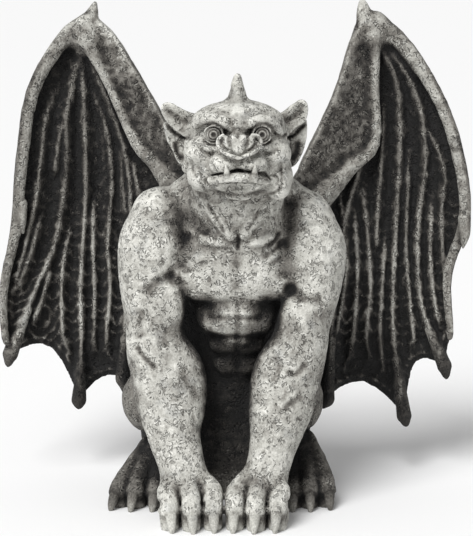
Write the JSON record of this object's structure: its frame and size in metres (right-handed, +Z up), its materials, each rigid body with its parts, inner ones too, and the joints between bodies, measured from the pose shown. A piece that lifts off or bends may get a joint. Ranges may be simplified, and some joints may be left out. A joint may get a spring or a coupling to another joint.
{
  "type": "stone gargoyle",
  "caption": "Crouching horned gargoyle in cast stone, propped on straight arms, with ribbed bat wings raised behind; it stands on its rump and clawed feet.",
  "frame": {"origin": "on the ground, under the middle of the bounding box", "axes": "+Z up, -Y the way the face looks, +X to the right of someone facing it"},
  "size_m": [0.4108, 0.221, 0.4199],
  "materials": {
    "stone": "cast stone with a fine pitted and wrinkled skin, dark wash in the hollows and pale dry-brushed high points"
  },
  "bodies": {
    "root": {"gargoyle": "stone"}
  },
  "joints": []
}
